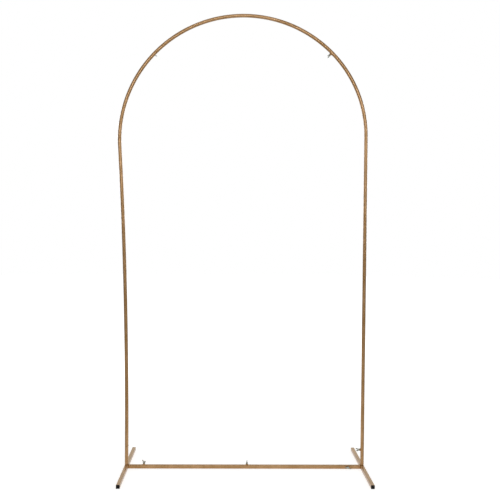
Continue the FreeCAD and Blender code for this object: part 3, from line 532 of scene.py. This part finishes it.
def thread_tree():
    """Screw thread wrapped from a flat grid: a helical ridge that runs out at both ends.

    The grid's X becomes the turn round the screw and its Y the share of the screw's length.
    Lengths along the thread's outline are shares of its pitch.
    """
    around, rows = 24, 90
    half_pitch = 0.5
    flat = 0.06
    tip_end, hub_start = 0.12, 0.98
    seam_gap = 0.002 * MM
    tree, given, output = new_tree("Screw thread", {
        "Pitch": "Float", "Length": "Float", "Major radius": "Float", "Minor radius": "Float",
        "Material": "Material"})
    grid = add(tree, "GeometryNodeMeshGrid", {
        "Size X": 1, "Size Y": 1, "Vertices X": around + 1, "Vertices Y": rows})
    spot = add(tree, "ShaderNodeSeparateXYZ", {
        0: add(tree, "GeometryNodeInputPosition").outputs[0]})
    turn = add(tree, "ShaderNodeMath", {0: spot.outputs["X"], 1: 0.5}, operation="ADD")
    share = add(tree, "ShaderNodeMath", {0: spot.outputs["Y"], 1: 0.5}, operation="ADD")
    height = add(tree, "ShaderNodeMath", {
        0: share.outputs[0], 1: given["Length"]}, operation="MULTIPLY")
    turns = add(tree, "ShaderNodeMath", {
        0: height.outputs[0], 1: given["Pitch"]}, operation="DIVIDE")
    phase = add(tree, "ShaderNodeMath", {
        0: turns.outputs[0], 1: turn.outputs[0]}, operation="SUBTRACT")
    wave = add(tree, "ShaderNodeMath", {
        0: phase.outputs[0], 1: half_pitch}, operation="PINGPONG")
    ridge = add(tree, "ShaderNodeMapRange", {
        "Value": wave.outputs[0], "From Min": flat, "From Max": half_pitch - flat,
        "To Min": given["Minor radius"], "To Max": given["Major radius"]})
    start = add(tree, "ShaderNodeMapRange", {
        "Value": share.outputs[0], "From Min": 0, "From Max": tip_end})
    end = add(tree, "ShaderNodeMapRange", {
        "Value": share.outputs[0], "From Min": 1, "From Max": hub_start})
    taper = add(tree, "ShaderNodeMath", {
        0: start.outputs[0], 1: end.outputs[0]}, operation="MULTIPLY")
    rounded = add(tree, "ShaderNodeMath", {0: taper.outputs[0], 1: 0.5}, operation="POWER")
    radius = add(tree, "ShaderNodeMath", {
        0: ridge.outputs[0], 1: rounded.outputs[0]}, operation="MULTIPLY")
    angle = add(tree, "ShaderNodeMath", {
        0: turn.outputs[0], 1: 2 * math.pi}, operation="MULTIPLY")
    cosine = add(tree, "ShaderNodeMath", {0: angle.outputs[0]}, operation="COSINE")
    sine = add(tree, "ShaderNodeMath", {0: angle.outputs[0]}, operation="SINE")
    x = add(tree, "ShaderNodeMath", {
        0: cosine.outputs[0], 1: radius.outputs[0]}, operation="MULTIPLY")
    y = add(tree, "ShaderNodeMath", {
        0: sine.outputs[0], 1: radius.outputs[0]}, operation="MULTIPLY")
    place = add(tree, "ShaderNodeCombineXYZ", {
        0: x.outputs[0], 1: y.outputs[0], 2: height.outputs[0]})
    wrapped = add(tree, "GeometryNodeSetPosition", {
        "Geometry": grid.outputs["Mesh"], "Position": place.outputs[0]})
    closed = add(tree, "GeometryNodeMergeByDistance", {
        "Geometry": wrapped.outputs[0], "Distance": seam_gap})
    end_tree(tree, closed.outputs[0], given["Material"], output)
    return tree


def head_mesh(screw):
    """Take a screw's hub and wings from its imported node, in the screw's own frame."""
    tolerance = 0.001 * MM
    skim = 0.01 * MM
    made = bmesh.new()
    made.from_mesh(NODES[f"{screw.name}_wing_screw"].data)
    bmesh.ops.remove_doubles(made, verts=made.verts, dist=tolerance)
    bmesh.ops.transform(made, matrix=screw.matrix.inverted(), verts=made.verts)
    cut = bmesh.ops.bisect_plane(
        made, geom=made.verts[:] + made.edges[:] + made.faces[:], dist=tolerance,
        plane_co=(0, 0, HUB_BASE + skim), plane_no=(0, 0, 1), clear_inner=True)
    rim = [item for item in cut["geom_cut"] if isinstance(item, bmesh.types.BMEdge)]
    bmesh.ops.holes_fill(made, edges=rim, sides=0)
    bmesh.ops.recalc_face_normals(made, faces=made.faces[:])
    return made


def wing_screw(screw, tree, settings, material):
    """Join a screw's head and its threaded shank into one piece at its place on the stand."""
    sunk = 0.6 * MM
    sharp_angle = math.radians(32)
    shank = grow("shank", bpy.data.meshes.new("shank"), tree, {
        "Pitch": settings.pitch, "Length": HUB_BASE + sunk - SHANK_TIP,
        "Major radius": settings.major_radius, "Minor radius": settings.minor_radius,
        "Material": material})
    shank.data.transform(Matrix.Translation((0, 0, SHANK_TIP)))
    both = head_mesh(screw)
    both.from_mesh(shank.data)
    for face in both.faces:
        face.smooth = True
        face.material_index = 0
    bmesh.ops.recalc_face_normals(both, faces=both.faces[:])
    bmesh.ops.transform(both, matrix=screw.matrix, verts=both.verts)
    name = f"{screw.name}_threaded_wing_screw"
    mesh = bpy.data.meshes.new(name)
    both.to_mesh(mesh)
    both.free()
    mesh.set_sharp_from_angle(angle=sharp_angle)
    mesh.materials.append(material)
    bpy.data.objects.remove(shank)
    piece = bpy.data.objects.new(name, mesh)
    bpy.context.scene.collection.objects.link(piece)
    return piece


class ARCH_STAND_OT_lacquer_tubes(bpy.types.Operator):
    """Give the feet, posts, bars, arch and collars their gold lacquer"""

    bl_idname = "arch_stand.lacquer_tubes"
    bl_label = "Lacquer the tubes"

    def execute(self, context):
        gold = gold_lacquer(context.scene.arch_lacquer)
        for name in TUBES:
            finish_node(name, gold)
        return {"FINISHED"}


class ARCH_STAND_OT_mould_plugs(bpy.types.Operator):
    """Give the four foot plugs their black plastic"""

    bl_idname = "arch_stand.mould_plugs"
    bl_label = "Mould the foot plugs"

    def execute(self, context):
        plastic = black_polythene()
        for name in PLUGS:
            finish_node(name, plastic)
        return {"FINISHED"}


class ARCH_STAND_OT_lay_welds(bpy.types.Operator):
    """Lay the weld beads of the stubs on the feet and of the collars on the tubes"""

    bl_idname = "arch_stand.lay_welds"
    bl_label = "Lay the welds"

    def execute(self, context):
        sizes = context.scene.arch_welds
        tree = weld_bead_tree()
        lacquer = weld_lacquer(context.scene.arch_lacquer)
        foot_paths = [path(side) for side in ("left", "right")
                      for path in (post_weld_path, bar_weld_path)]
        collar_paths = [collar_weld_path(screw) for screw in all_screws()]
        jobs = (("foot_welds", foot_paths, sizes.foot_bead_radius, sizes.ripple_spacing),
                ("collar_welds", collar_paths, sizes.collar_bead_radius, sizes.ripple_spacing / 2))
        for name, paths, radius, spacing in jobs:
            piece = grow(name, path_mesh(name, paths), tree, {
                "Bead radius": radius, "Ripple spacing": spacing,
                "Ripple depth": sizes.ripple_depth, "Unevenness": sizes.unevenness,
                "Seed": sizes.seed, "Material": lacquer})
            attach(piece, BODY)
        return {"FINISHED"}


class ARCH_STAND_OT_fit_wing_screws(bpy.types.Operator):
    """Put a threaded, zinc-plated wing screw in each collar"""

    bl_idname = "arch_stand.fit_wing_screws"
    bl_label = "Fit the wing screws"

    def execute(self, context):
        settings = context.scene.arch_screws
        zinc = zinc_plate(settings)
        tree = thread_tree()
        for screw in all_screws():
            piece = wing_screw(screw, tree, settings, zinc)
            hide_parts(f"{screw.name}_wing_screw")
            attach(piece, BODY)
        return {"FINISHED"}


def glowing_white_paper(settings):
    """Seamless white paper with a painted glow: round the feet of the stand it glows in a pool, and
    that glow lights the stand.

    To the eye a painted glow burns it out to white but for shadows by the stand; the glow is weaker
    near the stand so that those shadows show.
    """
    # Radii and strengths of the paper's painted glow.
    shaded_radius, white_radius = 0.8, 2.5
    shaded_glare, white_glare = 0.72, 1
    pool_radius, pool_end = 0.5, 1.0
    far_light = 0.05
    material, tree, output = new_material("White paper with painted glow")
    paper = add(tree, "ShaderNodeBsdfDiffuse", {"Color": rgba(srgb("#D8D8D8"))})
    place = add(tree, "ShaderNodeTexCoord").outputs["Object"]
    distance = add(tree, "ShaderNodeVectorMath", {0: place}, operation="LENGTH")
    # Painted glow that the camera sees: it burns the paper out to white, weaker near the stand so
    # that shadows by the stand show.
    glare = add(tree, "ShaderNodeMapRange", {
        "Value": distance.outputs["Value"], "From Min": shaded_radius, "From Max": white_radius,
        "To Min": shaded_glare, "To Max": white_glare})
    # Painted glow that the camera doesn't see: a pool of light on the paper round the feet, which
    # lights the stand.
    pool = add(tree, "ShaderNodeMapRange", {
        "Value": distance.outputs["Value"], "From Min": pool_radius, "From Max": pool_end,
        "To Min": settings.pool_light, "To Max": far_light}, interpolation_type="SMOOTHSTEP")
    direct = add(tree, "ShaderNodeLightPath").outputs["Is Camera Ray"]
    strength = add(tree, "ShaderNodeMix", {
        0: direct, 2: pool.outputs["Result"], 3: glare.outputs["Result"]})
    # The paper glows with the painted glow chosen above: the white glare for the camera, the pool
    # for all other rays.
    glow = add(tree, "ShaderNodeEmission", {"Color": (1, 1, 1, 1), "Strength": strength.outputs[0]})
    both = add(tree, "ShaderNodeAddShader", {0: paper.outputs[0], 1: glow.outputs[0]})
    tree.links.new(both.outputs[0], output.inputs["Surface"])
    return material


def pale_floor(settings):
    """Lay a round floor of white paper just under the feet."""
    gap = 0.05 * MM
    made = bmesh.new()
    bmesh.ops.create_circle(made, cap_ends=True, segments=96, radius=settings.floor_radius)
    mesh = bpy.data.meshes.new("studio_floor")
    made.to_mesh(mesh)
    made.free()
    mesh.transform(Matrix.Translation((0, 0, -gap)))
    mesh.materials.append(glowing_white_paper(settings))
    floor = bpy.data.objects.new("studio_floor", mesh)
    bpy.context.scene.collection.objects.link(floor)
    return floor


def soft_box(name, place, aim, size, power, colour):
    """Hang a large soft light that the camera doesn't see."""
    data = bpy.data.lights.new(name, "AREA")
    data.shape = "RECTANGLE"
    data.size, data.size_y = size
    data.energy = power
    data.color = srgb(colour)
    lamp = bpy.data.objects.new(name, data)
    lamp.location = place
    lamp.rotation_euler = (Vector(aim) - Vector(place)).to_track_quat("-Z", "Y").to_euler()
    lamp.visible_camera = False
    bpy.context.scene.collection.objects.link(lamp)


def studio_world():
    """Plain surroundings: white to the eye, and dimmer where they light the stand.

    They light it more from the rear than from the front.
    """
    front_depth, rear_depth = -0.2, 0.9
    front_fill, rear_fill = 0.21, 0.42
    world = bpy.data.worlds.new("Studio")
    world.use_nodes = True
    tree = world.node_tree
    tree.nodes.clear()
    output = tree.nodes.new("ShaderNodeOutputWorld")
    seen = add(tree, "ShaderNodeBackground", {"Color": (1, 1, 1, 1), "Strength": 1})
    place = add(tree, "ShaderNodeTexCoord").outputs["Generated"]
    depth = add(tree, "ShaderNodeSeparateXYZ", {0: place}).outputs["Y"]
    strength = add(tree, "ShaderNodeMapRange", {
        "Value": depth, "From Min": front_depth, "From Max": rear_depth,
        "To Min": front_fill, "To Max": rear_fill})
    lighting = add(tree, "ShaderNodeBackground", {
        "Color": rgba(srgb("#F3F1EE")), "Strength": strength.outputs["Result"]})
    direct = add(tree, "ShaderNodeLightPath").outputs["Is Camera Ray"]
    mixed = add(tree, "ShaderNodeMixShader", {
        0: direct, 1: lighting.outputs[0], 2: seen.outputs[0]})
    tree.links.new(mixed.outputs[0], output.inputs["Surface"])
    bpy.context.scene.world = world


def aim_camera(settings):
    """Set the camera at the photograph's viewing angle."""
    yaw, pitch, roll = settings.camera_yaw, settings.camera_pitch, settings.camera_roll
    forward = Vector((math.sin(yaw) * math.cos(pitch), math.cos(yaw) * math.cos(pitch),
                      -math.sin(pitch)))
    level = Vector((math.cos(yaw), -math.sin(yaw), 0))
    upright = level.cross(forward)
    across = math.cos(roll) * level + math.sin(roll) * upright
    data = bpy.data.cameras.new("Camera")
    data.lens = settings.lens
    data.sensor_width = 36
    camera = bpy.data.objects.new("Camera", data)
    camera.matrix_world = Matrix((across, across.cross(forward), -forward)).transposed().to_4x4()
    camera.location = settings.camera_position
    bpy.context.scene.collection.objects.link(camera)
    bpy.context.scene.camera = camera


class ARCH_STAND_OT_set_studio(bpy.types.Operator):
    """Set the pale floor, the soft lights and the camera"""

    bl_idname = "arch_stand.set_studio"
    bl_label = "Set the studio"

    def execute(self, context):
        settings = context.scene.arch_studio
        floor = pale_floor(settings)
        studio_world()
        for name, light in SOFTBOXES.items():
            soft_box(name, *light)
        aim_camera(settings)
        context.scene.view_settings.view_transform = "Standard"
        return {"FINISHED"}


class ARCH_STAND_PT_panel(bpy.types.Panel):
    """Lists the steps that dress the stand."""

    bl_label = "Balloon arch stand"
    bl_idname = "ARCH_STAND_PT_panel"
    bl_space_type = "VIEW_3D"
    bl_region_type = "UI"
    bl_category = "Arch Stand"

    def draw(self, context):
        for step in STEPS:
            self.layout.operator(step.bl_idname)
        for group_name in GROUPS:
            group = getattr(context.scene, group_name)
            box = self.layout.box()
            for name in group.bl_rna.properties.keys():
                if name not in ("rna_type", "name"):
                    box.prop(group, name)


STEPS = (
    ARCH_STAND_OT_lacquer_tubes,
    ARCH_STAND_OT_mould_plugs,
    ARCH_STAND_OT_lay_welds,
    ARCH_STAND_OT_fit_wing_screws,
    ARCH_STAND_OT_set_studio,
)
GROUPS = {
    "arch_lacquer": TubeLacquer,
    "arch_welds": WeldBeads,
    "arch_screws": WingScrews,
    "arch_studio": Studio,
}


def register():
    """Add the classes and the scene's settings."""
    for kind in (*GROUPS.values(), *STEPS, ARCH_STAND_PT_panel):
        bpy.utils.register_class(kind)
    for name, kind in GROUPS.items():
        setattr(bpy.types.Scene, name, PointerProperty(type=kind))


def unregister():
    """Remove what register added."""
    for name in GROUPS:
        delattr(bpy.types.Scene, name)
    for kind in (ARCH_STAND_PT_panel, *reversed(STEPS), *GROUPS.values()):
        bpy.utils.unregister_class(kind)


def main():
    """Dress the stand and set the studio."""
    register()
    bpy.ops.arch_stand.lacquer_tubes()
    bpy.ops.arch_stand.mould_plugs()
    bpy.ops.arch_stand.lay_welds()
    bpy.ops.arch_stand.fit_wing_screws()
    bpy.ops.arch_stand.set_studio()


if __name__ == "__main__":
    main()
